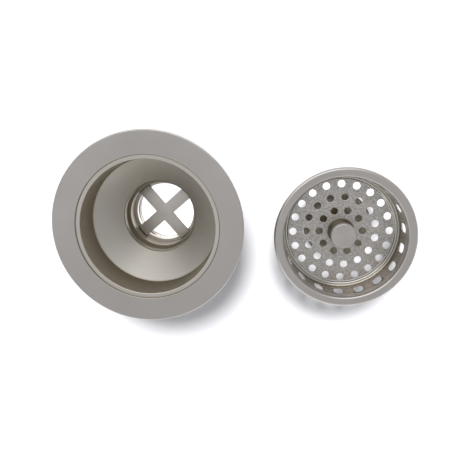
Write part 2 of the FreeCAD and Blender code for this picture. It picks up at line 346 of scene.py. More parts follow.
def turned_piece(
    name, corners, place, body, replaced, materials, finish_at=None, segments=SEGMENTS
):
    """A lathe-turned piece. finish_at gives a material's index from a place on the outline."""
    bm = bmesh.new()
    points = outline(corners)

    def finish(row):
        return finish_at((place_at(points[row]) + place_at(points[(row + 1) % len(points)])) / 2)

    strip(bm, points, finish=finish if finish_at else 0, segments=segments)
    return finish_mesh(name, bm, place, body, replaced, materials)


def hexagon_edge(flats, chamfer_r, level, inward):
    """Where a nut's chamfer meets its flats, at each angle. inward is -1 at the top, 1 below."""

    def point(angle):
        off_middle = (angle + math.pi / 6) % (math.pi / 3) - math.pi / 6
        radius = flats / 2 / math.cos(math.pi / 6 - abs(off_middle))
        return radius, level + inward * (radius - chamfer_r) * math.tan(HEX_CHAMFER_ANGLE)

    return point


def hex_outside(flats, bottom, top):
    """The outside of a nut, from its lower face up to its upper face, corners chamfered."""
    chamfer_r = flats / 2 * HEX_CHAMFER_SHARE
    return [
        (chamfer_r, bottom),
        hexagon_edge(flats, chamfer_r, bottom, 1),
        hexagon_edge(flats, chamfer_r, top, -1),
        (chamfer_r, top),
    ]


def split_ring_piece(name, radii, bottom, top, rounding, place, body, replaced, materials):
    """A C-shaped ring with rounded edges and closed ends. Its gap faces +X."""
    section = outline(ring_outline(*radii, bottom, top, rounding))
    bm = bmesh.new()
    loops = []
    for i in range(SPLIT_RING_SEGMENTS + 1):
        angle = CLIP_GAP / 2 + (math.tau - CLIP_GAP) * i / SPLIT_RING_SEGMENTS
        x, y = math.cos(angle), math.sin(angle)
        loops.append([bm.verts.new((r * x, r * y, z)) for r, z in section])
    join_loops(bm, loops, closed=False)
    bm.faces.new(loops[0])
    bm.faces.new(loops[-1])
    return finish_mesh(name, bm, place, body, replaced, materials)


# ---------------------------------------------------------------- materials


class Nodes:
    """A short way to build one material's node tree."""

    def __init__(self, name):
        self.material = bpy.data.materials.new(name)
        self.material.use_nodes = True
        self.tree = self.material.node_tree
        self.tree.nodes.clear()
        self.output = self.tree.nodes.new("ShaderNodeOutputMaterial")

    def add(self, kind, **settings):
        node = self.tree.nodes.new(kind)
        for key, value in settings.items():
            setattr(node, key, value)
        return node

    def feed(self, source, socket):
        if isinstance(source, bpy.types.NodeSocket):
            self.tree.links.new(source, socket)
        else:
            socket.default_value = source

    def shader(self, **values):
        """A principled shader. An underscore in a socket's name stands for a space."""
        shader = self.add("ShaderNodeBsdfPrincipled")
        for socket, value in values.items():
            self.feed(value, shader.inputs[socket.replace("_", " ")])
        self.feed(shader.outputs["BSDF"], self.output.inputs["Surface"])
        return shader

    def maths(self, operation, *sources):
        node = self.add("ShaderNodeMath", operation=operation)
        for i, source in enumerate(sources):
            self.feed(source, node.inputs[i])
        return node.outputs["Value"]

    def place(self, centre):
        """Object coordinates in millimetres, from a point of the frame."""
        moved = self.add("ShaderNodeVectorMath", operation="SUBTRACT")
        self.feed(self.add("ShaderNodeTexCoord").outputs["Object"], moved.inputs[0])
        self.feed(centre * MM, moved.inputs[1])
        scaled = self.add("ShaderNodeVectorMath", operation="SCALE")
        self.feed(moved.outputs[0], scaled.inputs[0])
        self.feed(1 / MM, scaled.inputs["Scale"])
        return scaled.outputs[0]

    def radius(self, place):
        """Distance from the axis, with the height and the angle round the axis."""
        parts = self.add("ShaderNodeSeparateXYZ")
        self.feed(place, parts.inputs[0])
        x, y, z = parts.outputs
        square = self.maths("ADD", self.maths("MULTIPLY", x, x), self.maths("MULTIPLY", y, y))
        return self.maths("SQRT", square), z, self.maths("ARCTAN2", y, x)

    def lathe_lines(self, place, fineness, drift=1.5):
        """Noise drawn out round the axis, as a turning tool leaves it."""
        radius, height, angle = self.radius(place)
        joined = self.add("ShaderNodeCombineXYZ")
        self.feed(self.maths("MULTIPLY", radius, fineness), joined.inputs[0])
        self.feed(self.maths("MULTIPLY", height, fineness), joined.inputs[1])
        self.feed(self.maths("MULTIPLY", self.maths("ABSOLUTE", angle), drift), joined.inputs[2])
        return self.noise(joined.outputs[0], scale=1.6, detail=6.0, roughness=0.7)

    def noise(self, vector, scale, detail=3.0, roughness=0.5):
        node = self.add("ShaderNodeTexNoise")
        self.feed(vector, node.inputs["Vector"])
        self.feed(scale, node.inputs["Scale"])
        self.feed(detail, node.inputs["Detail"])
        self.feed(roughness, node.inputs["Roughness"])
        return node.outputs[0]

    def stretched(self, vector, scale):
        node = self.add("ShaderNodeVectorMath", operation="MULTIPLY")
        self.feed(vector, node.inputs[0])
        self.feed(scale, node.inputs[1])
        return node.outputs[0]

    def span(self, value, low, high, from_low=0.3, from_high=0.7):
        node = self.add("ShaderNodeMapRange")
        for source, socket in zip((value, from_low, from_high, low, high), node.inputs):
            self.feed(source, socket)
        return node.outputs[0]

    def tint(self, factor, first, second, start=0.3, end=0.7):
        node = self.add("ShaderNodeValToRGB")
        self.feed(factor, node.inputs[0])
        elements = node.color_ramp.elements
        for element, position, colour in zip(elements, (start, end), (first, second)):
            element.position = position
            element.color = (*colour, 1)
        return node.outputs["Color"]

    def bump(self, height, strength, distance):
        node = self.add("ShaderNodeBump")
        self.feed(strength, node.inputs["Strength"])
        self.feed(distance * MM, node.inputs["Distance"])
        self.feed(height, node.inputs["Height"])
        return node.outputs["Normal"]


def toned(colour, share):
    return tuple(c * share for c in colour)


def turned_metal(name, colour, axis, rough, fineness=6.0, grain=0.12, brushing=0.35):
    """Metal with fine lathe lines round an axis, clouded a little in colour and gloss."""
    n = Nodes(name)
    place = n.place(axis)
    lines = n.lathe_lines(place, fineness)
    clouds = n.noise(place, scale=0.045)
    marks = n.maths("ADD", n.maths("MULTIPLY", lines, 0.6), n.maths("MULTIPLY", clouds, 0.4))
    n.shader(
        Metallic=1.0,
        Base_Color=n.tint(marks, toned(colour, 0.90), colour),
        Roughness=n.span(marks, *rough),
        Normal=n.bump(lines, strength=grain, distance=0.03),
        Anisotropic=brushing,
        Tangent=n.add("ShaderNodeTangent", direction_type="RADIAL", axis="Z").outputs[0],
    )
    return n.material


def painted_shade_turned_metal(name, colours, span, axis, rough, brushing):
    """Turned metal with painted light and shade: one tone inside a distance from its axis and a
    darker one past it, the change made uneven by the lathe lines.
    """
    n = Nodes(name)
    place = n.place(axis)
    lines = n.lathe_lines(place, fineness=2.2)
    radius = n.radius(place)[0]
    painted_shade_and_grain = n.maths("ADD", n.span(radius, 0.0, 1.0, *span), n.span(lines, -0.3, 0.3))
    n.shader(
        Metallic=1.0,
        Base_Color=n.tint(painted_shade_and_grain, *colours, start=0.0, end=1.0),
        Roughness=n.span(lines, *rough),
        Normal=n.bump(lines, strength=0.18, distance=0.03),
        Anisotropic=brushing,
        Tangent=n.add("ShaderNodeTangent", direction_type="RADIAL", axis="Z").outputs[0],
    )
    return n.material


def straight_brushed_metal(name, colour, turn, rough):
    """Metal brushed along one direction in the XY plane."""
    n = Nodes(name)
    place = n.place(STRAINER_AXIS)
    turned = n.add("ShaderNodeVectorRotate", rotation_type="Z_AXIS")
    n.feed(place, turned.inputs["Vector"])
    n.feed(-turn, turned.inputs["Angle"])
    along = n.stretched(turned.outputs[0], (0.12, 6.0, 6.0))
    lines = n.noise(along, scale=1.5, detail=5.0, roughness=0.65)
    clouds = n.noise(place, scale=0.12)
    n.shader(
        Metallic=1.0,
        Base_Color=n.tint(clouds, toned(colour, 0.92), colour),
        Roughness=n.span(lines, *rough),
        Normal=n.bump(lines, strength=0.15, distance=0.03),
    )
    return n.material


def speckled_metal(name, colour, axis, rough):
    """Pressed sheet with a fine blasted grain."""
    n = Nodes(name)
    place = n.place(axis)
    grain = n.noise(place, scale=0.9, detail=5.0, roughness=0.75)
    patches = n.noise(place, scale=0.06)
    n.shader(
        Metallic=1.0,
        Base_Color=n.tint(grain, toned(colour, 0.62), toned(colour, 1.16), start=0.38, end=0.62),
        Roughness=n.span(patches, *rough),
        Normal=n.bump(grain, strength=0.5, distance=0.16),
    )
    return n.material


def cast_metal(name, colour):
    """Die-cast zinc: matt and slightly pebbled, duller in patches."""
    n = Nodes(name)
    place = n.place(STRAINER_AXIS)
    pebbles = n.noise(place, scale=1.1, detail=6.0, roughness=0.65)
    patches = n.noise(place, scale=0.05, detail=4.0)
    n.shader(
        Metallic=1.0,
        Base_Color=n.tint(patches, toned(colour, 0.8), colour),
        Roughness=n.span(pebbles, 0.42, 0.6),
        Normal=n.bump(pebbles, strength=0.4, distance=0.15),
    )
    return n.material


def spring_metal(name, colour):
    """Drawn wire and bearing steel: bright, with faint marks along it."""
    n = Nodes(name)
    place = n.place(BASKET_AXIS)
    along = n.stretched(place, (1.0, 1.0, 7.0))
    marks = n.noise(along, scale=1.2, detail=4.0, roughness=0.6)
    n.shader(
        Metallic=1.0,
        Base_Color=n.tint(marks, toned(colour, 0.9), colour),
        Roughness=n.span(marks, 0.18, 0.3),
        Normal=n.bump(marks, strength=0.06, distance=0.02),
    )
    return n.material


def rubber(name, axis):
    """Moulded black rubber with a dusty bloom."""
    n = Nodes(name)
    place = n.place(axis)
    grain = n.noise(place, scale=2.2, detail=5.0, roughness=0.6)
    bloom = n.noise(place, scale=0.09, detail=4.0)
    n.shader(
        Specular_IOR_Level=0.35,
        Base_Color=n.tint(bloom, (0.012, 0.012, 0.013), (0.035, 0.035, 0.036)),
        Roughness=n.span(grain, 0.55, 0.72),
        Normal=n.bump(grain, strength=0.25, distance=0.08),
    )
    return n.material


def fibre(name):
    """Pressed red-brown fibre board, with short crossed strands in it."""
    n = Nodes(name)
    place = n.place(STRAINER_AXIS)
    along, across = (
        n.noise(n.stretched(place, lie), scale=0.9, detail=6.0, roughness=0.75)
        for lie in ((0.5, 3.0, 3.0), (3.0, 0.5, 3.0))
    )
    strands = n.maths("MULTIPLY", n.maths("ADD", along, across), 0.5)
    n.shader(
        Base_Color=n.tint(strands, (0.20, 0.085, 0.045), (0.36, 0.17, 0.09)),
        Roughness=n.span(strands, 0.65, 0.85),
        Normal=n.bump(strands, strength=0.4, distance=0.1),
    )
    return n.material


def nylon(name):
    """Milky moulded nylon with a soft gloss."""
    n = Nodes(name)
    place = n.place(STRAINER_AXIS)
    flow = n.noise(place, scale=0.12, detail=4.0)
    grain = n.noise(place, scale=1.8, detail=4.0)
    n.shader(
        Subsurface_Weight=0.15,
        Subsurface_Scale=0.002,
        Base_Color=n.tint(flow, (0.66, 0.65, 0.60), (0.78, 0.77, 0.73)),
        Roughness=n.span(grain, 0.32, 0.45),
        Normal=n.bump(grain, strength=0.12, distance=0.05),
    )
    return n.material


NICKEL = (0.56, 0.53, 0.50)
# Nickel darkened to brown: painted shade for the throat, the outlet's bore, the recess's step and
# the collar under the knob.
PAINTED_SHADE_BROWN = (0.40, 0.35, 0.27)
FLANGE_SATIN = turned_metal("flange_satin", NICKEL, STRAINER_AXIS, (0.28, 0.38))
# Painted light and shade in the bowl: the cone is lighter than the flange's nickel, and the bowl's
# upright wall is painted dark brown as shade.
BOWL_PAINTED_LIGHT_AND_SHADE = painted_shade_turned_metal(
    "bowl_painted_light_and_shade",
    colours=((0.61, 0.585, 0.545), (0.47, 0.42, 0.33)),
    span=(BOWL_R - 0.9, BOWL_R - 0.4),
    axis=STRAINER_AXIS,
    rough=(0.40, 0.52),
    brushing=0.2,
)
# A lighter copy of the nickel: painted highlight on the recess ledge and on the outlet's ledge
# under the cross.
LEDGE_PAINTED_HIGHLIGHT = turned_metal("ledge_painted_highlight", (0.66, 0.62, 0.57), STRAINER_AXIS, (0.3, 0.4))
# Painted shade: nickel darkened to brown in the throat, the outlet's bore, the collar and the line
# at the recess's foot.
THROAT_PAINTED_SHADE = turned_metal("throat_painted_shade", toned(PAINTED_SHADE_BROWN, 0.72), STRAINER_AXIS, (0.30, 0.42))
CROSS_SATIN = straight_brushed_metal("cross_satin", (0.64, 0.61, 0.57), CROSS_ANGLE, (0.32, 0.44))
COUPLING_SATIN = turned_metal(
    "coupling_satin", toned(NICKEL, 0.95), STRAINER_AXIS, (0.3, 0.42), fineness=4.0
)
ZINC = cast_metal("cast_zinc", (0.50, 0.50, 0.51))
GASKET_RUBBER = rubber("gasket_rubber", STRAINER_AXIS)
RED_FIBRE = fibre("red_fibre")
WHITE_NYLON = nylon("white_nylon")
RIM_SATIN = turned_metal("rim_satin", NICKEL, BASKET_AXIS, (0.28, 0.38))
# The cup's inner wall: its gloss is real, its dark brown tone is painted shade on the same sheet as
# the rim.
WALL_PAINTED_SHADE = turned_metal(
    "cup_wall_painted_shade", (0.38, 0.34, 0.285), BASKET_AXIS, (0.14, 0.24),
    fineness=4.0, grain=0.08, brushing=0.3,
)
PLATE_BLASTED = speckled_metal("cup_plate_blasted", toned(NICKEL, 1.06), BASKET_AXIS, (0.36, 0.5))
# A lighter copy of the sheet's nickel on the bead: painted highlight, with real gloss from its low
# roughness.
BEAD_PAINTED_HIGHLIGHT = turned_metal(
    "cup_bead_painted_highlight", (0.66, 0.64, 0.60), BASKET_AXIS, (0.10, 0.18), fineness=4.0, grain=0.05
)
KNOB_SATIN = turned_metal("knob_satin", NICKEL, BASKET_AXIS, (0.34, 0.44))
# Painted shade: the collar under the knob darkened to brown nickel.
COLLAR_PAINTED_SHADE = turned_metal(
    "collar_painted_shade", toned(PAINTED_SHADE_BROWN, 0.7), BASKET_AXIS, (0.2, 0.3), fineness=9.0
)
# Painted shade: the backing disc under the plate darkened to a dark brown.
DISC_PAINTED_SHADE = turned_metal(
    "disc_painted_shade", (0.33, 0.30, 0.24), BASKET_AXIS, (0.18, 0.3), fineness=5.0
)
BRASS = turned_metal(
    "turned_brass", (0.62, 0.44, 0.20), BASKET_AXIS, (0.26, 0.38), grain=0.15
)
SPRING = spring_metal("spring_steel", (0.50, 0.50, 0.51))
STOPPER_RUBBER = rubber("stopper_rubber", BASKET_AXIS)


# ---------------------------------------------------------------- strainer


def make_strainer_body():
    """The turned casting: flange, recess, bowl and throat each have their own material, with
    painted shade in the throat and on the recess's step, and a painted highlight on the ledge.
    """
    corners = [
        (FLANGE_R, 0.0, 0.25),
        (FLANGE_R, FLANGE_T, 0.7),
        (RECESS_R, FLANGE_T, 0.25),
        (RECESS_R, RECESS_Z, RECESS_LINE_W),
        (BOWL_R, RECESS_Z, 0.6),
        (BOWL_R, BOWL_BOTTOM, 0.7),
        (THROAT_R, THROAT_TOP, 0.8),
        (THROAT_R, THROAT_BOTTOM),
        (COLLAR_R, THROAT_BOTTOM),
        (COLLAR_R, THROAT_TOP - CONE_WALL_DROP, 1.0),
        (BARREL_ROOT_R, BOWL_BOTTOM - CONE_WALL_DROP, 1.5),
        *thread(BARREL_THREAD_LOW, BARREL_THREAD_HIGH, BARREL_ROOT_R, BARREL_CREST_R, THREAD_PITCH),
        (BARREL_ROOT_R, 0.0, 0.4),
    ]

    # dark is painted shade in the throat and on the recess's step; ledge is a painted highlight on
    # the recess ledge.
    flange, bowl, dark, ledge = range(4)
    recess_edge, bowl_edge, bowl_foot = RECESS_R + 0.2, BOWL_R + 0.3, THROAT_TOP + 0.4
    line_inner, line_foot, line_top = RECESS_R - RECESS_LINE_W, RECESS_Z - 0.3, FLANGE_T - 0.3

    def finish_at(place):
        radius, height = place
        in_recess = 0 < height and radius < recess_edge
        if in_recess and radius > line_inner and line_foot < height < line_top:
            return dark
        if radius > bowl_edge:
            return ledge if in_recess else flange
        return bowl if height > bowl_foot and radius > THROAT_R else dark

    return turned_piece(
        "strainer_bowl", corners, STRAINER_AXIS, "strainer", "strainer_body",
        [FLANGE_SATIN, BOWL_PAINTED_LIGHT_AND_SHADE, THROAT_PAINTED_SHADE, LEDGE_PAINTED_HIGHLIGHT], finish_at,
    )


def make_outlet_spud():
    shoulder = THROAT_BOTTOM - SPUD_SHOULDER_T
    thread_top = shoulder - 1.0
    corners = [
        (SPUD_BORE_R, THROAT_BOTTOM, 0.25),
        (SPUD_BORE_R, CROSS_LEDGE),
        (OUTLET_R, CROSS_LEDGE, 0.2),
        (OUTLET_R, SPUD_END, 0.3),
        (SPUD_ROOT_R, SPUD_END, 0.3),
        *thread(SPUD_END + THREAD_INSET, thread_top, SPUD_ROOT_R, SPUD_CREST_R, THREAD_PITCH),
        (SPUD_ROOT_R, shoulder),
        (SPUD_SHOULDER_R, shoulder, 0.4),
        (SPUD_SHOULDER_R, THROAT_BOTTOM, 0.4),
    ]

    # dark is painted shade in the outlet's bore; ledge is a painted highlight on the ledge under
    # the cross.
    dark, ledge = range(2)

    def finish_at(place):
        radius, height = place
        return ledge if height < CROSS_LEDGE + 0.1 and radius < SPUD_BORE_R else dark

    return turned_piece(
        "outlet_tube", corners, STRAINER_AXIS, "strainer", "outlet_spud",
        [THROAT_PAINTED_SHADE, LEDGE_PAINTED_HIGHLIGHT], finish_at,
    )


def cross_outline():
    """The X's outline: four arms with round tips, going round anticlockwise."""
    half = CROSS_ARM_W / 2
    tip_half_angle = math.asin(half / CROSS_TIP_R)
    steps = 4
    points = []
    for arm in range(4):
        direction = CROSS_ANGLE + math.radians(90 * arm)
        for i in range(-steps, steps + 1):
            points.append(polar(direction + tip_half_angle * i / steps, CROSS_TIP_R))
        points.append(polar(direction + math.radians(45), half * math.sqrt(2)))
    return points


def make_crossbar():
    bm = bmesh.new()
    face = bm.faces.new([bm.verts.new((x, y, CROSS_LEDGE)) for x, y in cross_outline()])
    lifted = bmesh.ops.extrude_face_region(bm, geom=[face])["geom"]
    raised = [g for g in lifted if isinstance(g, bmesh.types.BMVert)]
    bmesh.ops.translate(bm, vec=(0, 0, CROSS_T), verts=raised)
    flat_edges = [e for e in bm.edges if abs(e.verts[0].co.z - e.verts[1].co.z) < WELD]
    bmesh.ops.bevel(
        bm, geom=flat_edges, offset=CROSS_EDGE, segments=3, profile=0.5, affect="EDGES"
    )
    return finish_mesh(
        "cross", bm, STRAINER_AXIS, "strainer", "crossbar", [CROSS_SATIN]
    )


def make_plain_ring(name, inner_r, outer_r, rounding, body, node, materials):
    """A washer-like ring on the strainer's axis, as high as its CAD node."""
    low, high = node_box(node)
    corners = ring_outline(inner_r, outer_r, low.z, high.z, rounding)
    return turned_piece(name, corners, STRAINER_AXIS, body, node, materials)


def lug_reach(angle):
    """How far the locknut reaches out at one angle: to the ring, or to a lug with round corners."""
    pitch = math.tau / LOCKNUT_LUGS
    off_middle = abs((angle + pitch / 2) % pitch - pitch / 2)
    inside = LOCKNUT_LUG_W / 2 - off_middle * LOCKNUT_LUG_R
    if inside <= 0:
        return LOCKNUT_R
    short = max(0.0, LUG_ROUNDING - inside)
    return LOCKNUT_LUG_R - LUG_ROUNDING + math.sqrt(LUG_ROUNDING**2 - short**2)


def make_locknut():
    """A cast ring nut with a wide bearing face at the top and lugs for a spanner."""
    low, high = node_box("locknut")
    bottom, top = low.z, high.z
    face_under = top - LOCKNUT_FACE_T
    lug_bottom, lug_top = bottom + 0.8, top - 0.6
    bore = (LOCKNUT_BORE_R, LOCKNUT_CREST_R, THREAD_PITCH)

    def on_lug(inset, height, least):
        return lambda angle: (max(least, lug_reach(angle) - inset), height)

    corners = [
        (LOCKNUT_R, bottom, 0.5),
        (LOCKNUT_R, lug_bottom),
        on_lug(LUG_CHAMFER, lug_bottom, LOCKNUT_R),
        on_lug(0.0, lug_bottom + LUG_CHAMFER, LOCKNUT_R),
        on_lug(0.0, face_under, LOCKNUT_R),
        on_lug(0.0, face_under, LOCKNUT_FACE_R),
        on_lug(0.0, lug_top - LUG_CHAMFER, LOCKNUT_FACE_R),
        on_lug(LUG_CHAMFER, lug_top, LOCKNUT_FACE_R),
        (LOCKNUT_FACE_R, lug_top),
        (LOCKNUT_FACE_R, top, 0.35),
        (LOCKNUT_BORE_R, top, 0.3),
        *thread(bottom + THREAD_INSET, top - THREAD_INSET, *bore, inside=True),
        (LOCKNUT_BORE_R, bottom, 0.3),
    ]
    return turned_piece(
        "lock_nut", corners, STRAINER_AXIS, "locknut", "locknut", [ZINC],
        segments=LOCKNUT_SEGMENTS,
    )


def make_coupling_nut():
    """A hexagonal nut, threaded above and closed in below to a lip round the tailpiece."""
    low, high = node_box("coupling_nut")
    floor, top = low.z, high.z
    thread_low = node_box("tailpiece_washer")[1].z + 0.4
    bore = (COUPLING_BORE_R, COUPLING_CREST_R, THREAD_PITCH)
    corners = [
        (TAILPIECE_R, floor + COUPLING_LIP_T, 0.3),
        (TAILPIECE_R, floor, 0.3),
        *hex_outside(COUPLING_FLATS, floor, top),
        (COUPLING_BORE_R, top, 0.4),
        *thread(thread_low, top - THREAD_INSET, *bore, inside=True),
        (COUPLING_BORE_R, floor + COUPLING_LIP_T, 0.3),
    ]
    return turned_piece(
        "slip_nut", corners, STRAINER_AXIS, "coupling_nut", "coupling_nut",
        [COUPLING_SATIN],
    )


make_strainer_body()
make_outlet_spud()
make_crossbar()
make_plain_ring(
    "gasket", RING_BORE_R, GASKET_R, 0.5, "deck_clamp", "deck_gasket",
    [GASKET_RUBBER],
)
make_plain_ring(
    "slip_ring", RING_BORE_R, FRICTION_R, 0.15, "deck_clamp", "friction_ring",
    [RED_FIBRE],
)
make_locknut()
make_plain_ring(
    "tail_seal", WASHER_BORE_R, WASHER_R, 0.3, "tail_washer", "tailpiece_washer",
    [WHITE_NYLON],
)
make_coupling_nut()


# ---------------------------------------------------------------- basket cup

PLATE_FINISH, WALL_FINISH, RIM_FINISH, BEAD_FINISH = range(4)


def wall_inner_r(z):
    return WALL_BOTTOM_R + (RIM_INNER_R - WALL_BOTTOM_R) * (z - PLATE_TOP) / -PLATE_TOP


def wall_outer_r(z):
    top = RIM_INNER_R + SHEET_T
    return top + (top - WALL_BOTTOM_R - SHEET_T) * (z + RIM_T) / (-RIM_T - PLATE_UNDER)


def lift_plate(point, depth):
    return Vector((point.x, point.y, PLATE_TOP - depth))


def lift_wall(point, depth):
    """point is (arc length at the rim's inner radius, height); depth 0 is the inner face."""
    angle = point.x / RIM_INNER_R
    share = depth / SHEET_T
    radius = wall_inner_r(point.y) * (1 - share) + wall_outer_r(point.y) * share
    return Vector((radius * math.cos(angle), radius * math.sin(angle), point.y))


def pierced_cell(bm, border, centre, edge_at, lift, finish):
    """One cell of sheet with a punched opening: front face, rounded lip, wall, lip, back face."""
    directions = [(p - centre).normalized() for p in border]
    lip = [(1.6, 0.0), (1.0, 0.0), (0.3, 0.3), (0.0, 1.0)]
    front = [(grow * HOLE_LIP, depth * HOLE_LIP) for grow, depth in lip]
    back = [(grow, SHEET_T - depth) for grow, depth in reversed(front)]
    loops = [[bm.verts.new(lift(p, 0.0)) for p in border]]
    for grow, depth in front + back:
        edge = [centre + edge_at(d) + d * grow for d in directions]
        loops.append([bm.verts.new(lift(p, depth)) for p in edge])
    loops.append([bm.verts.new(lift(p, SHEET_T)) for p in border])

    def finish_at(row):
        return finish if row < len(front) else RIM_FINISH

    join_loops(bm, loops, closed=False, finish=finish_at)


def round_edge(direction):
    return direction * DRAIN_HOLE_R


def slot_edge(direction):
    """From a slot's middle to its round-ended edge, in one direction."""
    half_w = SLOT_W / 2
    straight = SLOT_H / 2 - half_w
    if abs(direction.x) > 1e-9:
        reach = half_w / abs(direction.x)
        if abs(reach * direction.y) <= straight:
            return direction * reach
    offset = math.copysign(straight, direction.y)
    along = direction.y * offset
    reach = along + math.sqrt(max(0.0, along * along - offset * offset + half_w * half_w))
    return direction * reach


def cell_border(low, high, along_count, side_count, to_plane):
    """A cell's border in its own two coordinates: along, up, back and down."""
    (u0, v0), (u1, v1) = low, high
    border = [(u0 + (u1 - u0) * i / along_count, v0) for i in range(along_count)]
    border += [(u1, v0 + (v1 - v0) * i / side_count) for i in range(side_count)]
    border += [(u1 + (u0 - u1) * i / along_count, v1) for i in range(along_count)]
    border += [(u0, v1 + (v0 - v1) * i / side_count) for i in range(side_count)]
    return [to_plane(u, v) for u, v in border]


def cell_angles(middle, count):
    """Where a cell starts and ends, on the nearest of the cup's segments."""
    step = math.tau / CUP_SEGMENTS
    start = round((middle - math.pi / count) / step) * step
    return start, start + math.tau / count


def on_wall(angle, height):
    return Vector((angle * RIM_INNER_R, height))


def pierce_plate(bm):
    inner = FIRST_RING_R
    for ring_r, count, phase, outer in DRAIN_RINGS:
        for i in range(count):
            middle = math.radians(phase) + math.tau * i / count
            start, end = cell_angles(middle, count)
            steps = (CUP_SEGMENTS // count, PLATE_CELL_ROWS)
            border = cell_border((start, inner), (end, outer), *steps, polar)
            pierced_cell(bm, border, polar(middle, ring_r), round_edge, lift_plate, PLATE_FINISH)
        inner = outer


def pierce_wall(bm):
    low, high = SLOT_BAND
    for i in range(SLOT_COUNT):
        middle = math.radians(SLOT_PHASE) + math.tau * i / SLOT_COUNT
        start, end = cell_angles(middle, SLOT_COUNT)
        steps = (CUP_SEGMENTS // SLOT_COUNT, WALL_CELL_ROWS)
        border = cell_border((start, low), (end, high), *steps, on_wall)
        pierced_cell(bm, border, on_wall(middle, SLOT_MID), slot_edge, lift_wall, WALL_FINISH)


def make_basket_cup():
    """The cup in one closed mesh: turned strips joined to pierced bands of plate and wall."""
    bm = bmesh.new()
    low, high = SLOT_BAND
    *_, plate_edge = DRAIN_RINGS[-1]
    under_half_w = BEAD_HALF_W - 0.2
    middle = [
        (FIRST_RING_R, PLATE_UNDER),
        (PLATE_HOLE_R, PLATE_UNDER),
        (PLATE_HOLE_R, PLATE_TOP),
        (FIRST_RING_R, PLATE_TOP),
    ]
    bead = [
        (plate_edge, PLATE_TOP),
        (BEAD_R - BEAD_HALF_W, PLATE_TOP, 0.4),
        (BEAD_R, PLATE_TOP + BEAD_H, 0.8),
        (WALL_BOTTOM_R, PLATE_TOP, 0.4),
        (wall_inner_r(low), low),
    ]
    rim = [
        (wall_inner_r(high), high),
        (RIM_INNER_R, 0.0, 1.6),
        (RIM_R, 0.0, 1.7),
        (RIM_R, -RIM_T, 0.3),
        (RIM_INNER_R + SHEET_T, -RIM_T, 0.3),
        (wall_outer_r(high), high),
    ]
    under = [
        (wall_outer_r(low), low),
        (WALL_BOTTOM_R + SHEET_T, PLATE_UNDER, 0.9),
        (BEAD_R + under_half_w, PLATE_UNDER, 0.2),
        (BEAD_R, PLATE_TOP + BEAD_H - SHEET_T, 0.4),
        (BEAD_R - under_half_w, PLATE_UNDER, 0.3),
        (plate_edge, PLATE_UNDER),
    ]
    wall_rows = 2  # past the support point at the wall's foot
    bead_rows = len(outline(bead, closed=False)) - 1 - wall_rows

    def bead_finish(row):
        return BEAD_FINISH if row < bead_rows else WALL_FINISH

    for corners, finish in (
        (middle, PLATE_FINISH),
        (bead, bead_finish),
        (rim, RIM_FINISH),
        (under, RIM_FINISH),
    ):
        strip(bm, outline(corners, closed=False), False, finish, CUP_SEGMENTS)
    pierce_plate(bm)
    pierce_wall(bm)
    return finish_mesh(
        "basket_shell", bm, BASKET_AXIS, "basket", "basket_cup",
        [PLATE_BLASTED, WALL_PAINTED_SHADE, RIM_SATIN, BEAD_PAINTED_HIGHLIGHT],
    )


make_basket_cup()


# ---------------------------------------------------------------- post, knob and stopper


def turned_on_basket(name, corners, body, node, material):
    return turned_piece(
        name, corners, BASKET_AXIS, body, node, [material], segments=SMALL_SEGMENTS
    )


def bore_across(piece, radius, height):
    """Cuts a round hole along Y through a piece on the basket's axis."""
    bm = bmesh.new()
    bmesh.ops.create_cone(
        bm,
        cap_ends=True,
        segments=DRILL_SEGMENTS,
        radius1=radius,
        radius2=radius,
        depth=DRILL_LENGTH,
        matrix=Matrix.Rotation(math.pi / 2, 4, "X"),
    )
    bmesh.ops.translate(bm, vec=BASKET_AXIS + Vector((0, 0, height)), verts=bm.verts)
    bmesh.ops.scale(bm, vec=(MM, MM, MM), verts=bm.verts)
    mesh = bpy.data.meshes.new("drill")
    bm.to_mesh(mesh)
    bm.free()
    drill = bpy.data.objects.new("drill", mesh)
    bpy.context.scene.collection.objects.link(drill)
    hole = piece.modifiers.new("cross_hole", "BOOLEAN")
    hole.object = drill
    hole.solver = "EXACT"
    evaluated = piece.evaluated_get(bpy.context.evaluated_depsgraph_get())
    bored = bpy.data.meshes.new_from_object(evaluated)
    piece.modifiers.clear()
    piece.data = bored
    bpy.data.objects.remove(drill)


def make_post_bushing():
    """The turned guide in the plate: a stepped collar above, a thread and a ball barrel below."""
    low, high = node_box("post_bushing")
    bottom, top = low.z - BASKET_AXIS.z, high.z - BASKET_AXIS.z
    collar_r = (high.x - low.x) / 2
    collar_top = PLATE_TOP + BUSHING_COLLAR_T
    ring_z = top - STEP_GROOVE_DROP
    fine_thread = (BUSHING_THREAD_ROOT_R, BUSHING_THREAD_R, FINE_PITCH)
    corners = [
        (BUSHING_BORE_R, bottom, 0.1),
        (BUSHING_BARREL_R, bottom, 0.3),
        (BUSHING_BARREL_R, BUSHING_THREAD_LOW),
        *thread(BUSHING_THREAD_LOW, PLATE_UNDER, *fine_thread),
        (BUSHING_THREAD_R, PLATE_TOP),
        (collar_r, PLATE_TOP, 0.2),
        (collar_r, collar_top, 0.4),
        (COLLAR_GROOVE_R + COLLAR_GROOVE_HALF_W, collar_top, 0.1),
        (COLLAR_GROOVE_R, collar_top - COLLAR_GROOVE_DEPTH, 0.1),
        (COLLAR_GROOVE_R - COLLAR_GROOVE_HALF_W, collar_top, 0.1),
        (BUSHING_STEP_R, collar_top, 0.2),
        (BUSHING_STEP_R, ring_z - STEP_GROOVE, 0.1),
        (BUSHING_STEP_R - STEP_GROOVE, ring_z, 0.1),
        (BUSHING_STEP_R, ring_z + STEP_GROOVE, 0.1),
        (BUSHING_STEP_R, top, 0.3),
        (BUSHING_BORE_R, top, 0.1),
    ]
    piece = turned_on_basket(
        "guide", corners, "basket", "post_bushing", COLLAR_PAINTED_SHADE
    )
    bore_across(piece, BALL_HOLE_R, BALL_Z)
    return piece


